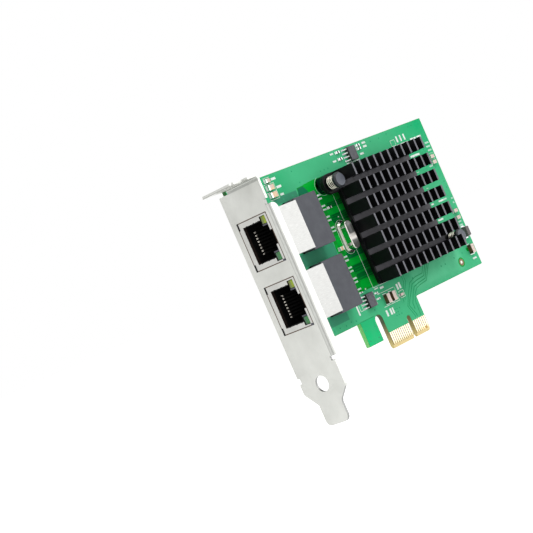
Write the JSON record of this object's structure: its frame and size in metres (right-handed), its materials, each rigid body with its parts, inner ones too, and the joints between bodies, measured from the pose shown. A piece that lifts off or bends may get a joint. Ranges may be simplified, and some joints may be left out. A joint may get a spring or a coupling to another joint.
{
  "type": "network interface card",
  "caption": "Low-profile network card: side by side jacks on a folded bracket, transformer modules, finned heat sink on push pins, and an edge connector.",
  "frame": {"origin": "middle of the connector key, at the lower edge of the tongue, half way through the board", "axes": "+X along the card away from the bracket, -Y out of the component side, +Z away from the slot that the tongue goes into"},
  "size_m": [0.1169, 0.02, 0.08],
  "materials": {
    "board": "satin solder mask on glass laminate",
    "gold_contact": "gold plated",
    "solder": "tinned, soft shine",
    "bracket_steel": "plated, satin",
    "screw_steel": "plated",
    "heat_sink_aluminium": "black anodised",
    "package_plastic": "matt",
    "thermal_pad": "matt",
    "pin_plastic": "satin",
    "spring_steel": "bright wire",
    "crystal_metal": "bright drawn metal",
    "lead_metal": "tinned",
    "capacitor_resin": "matt moulded",
    "capacitor_ceramic": "matt ceramic",
    "resistor_body": "satin",
    "jack_shell_steel": "bright plated",
    "jack_plastic": "satin",
    "lamp_yellow": "clear tinted",
    "lamp_green": "clear tinted",
    "transformer_plastic": "matt moulded",
    "ferrite": "matt",
    "chip_plastic": "matt moulded"
  },
  "bodies": {
    "root": {"bracket": "bracket_steel", "bracket_screws": "screw_steel", "chip_end_caps": "solder", "circuit_board": "board", "controller_balls": "solder", "controller_package": "package_plastic", "crystal_can": "crystal_metal", "crystal_flange": "crystal_metal", "crystal_pins": "lead_metal", "edge_fingers_back": "gold_contact", "edge_fingers_front": "gold_contact", "eight_lead_chip_leads_lower": "lead_metal", "eight_lead_chip_leads_upper": "lead_metal", "eight_lead_chip_lower": "chip_plastic", "eight_lead_chip_upper": "chip_plastic", "heat_sink": "heat_sink_aluminium", "jack_contacts_lower": "gold_contact", "jack_contacts_upper": "gold_contact", "jack_housing_lower": "jack_plastic", "jack_housing_upper": "jack_plastic", "jack_lamp_green_lower": "lamp_green", "jack_lamp_green_upper": "lamp_green", "jack_lamp_leads_lower": "lead_metal", "jack_lamp_leads_upper": "lead_metal", "jack_lamp_yellow_lower": "lamp_yellow", "jack_lamp_yellow_upper": "lamp_yellow", "jack_shell_lower": "jack_shell_steel", "jack_shell_upper": "jack_shell_steel", "large_capacitors": "capacitor_ceramic", "moulded_capacitor": "capacitor_resin", "moulded_capacitor_tabs": "lead_metal", "plated_hole": "solder", "push_pin_springs": "spring_steel", "push_pins": "pin_plastic", "resistors": "resistor_body", "small_capacitors": "capacitor_ceramic", "solder_joints": "solder", "solder_pads": "solder", "thermal_pad": "thermal_pad", "transformer_carrier_lower": "transformer_plastic", "transformer_carrier_upper": "transformer_plastic", "transformer_case_lower": "transformer_plastic", "transformer_case_upper": "transformer_plastic", "transformer_cores_lower": "ferrite", "transformer_cores_upper": "ferrite", "transformer_leads_lower": "lead_metal", "transformer_leads_upper": "lead_metal"}
  },
  "joints": []
}
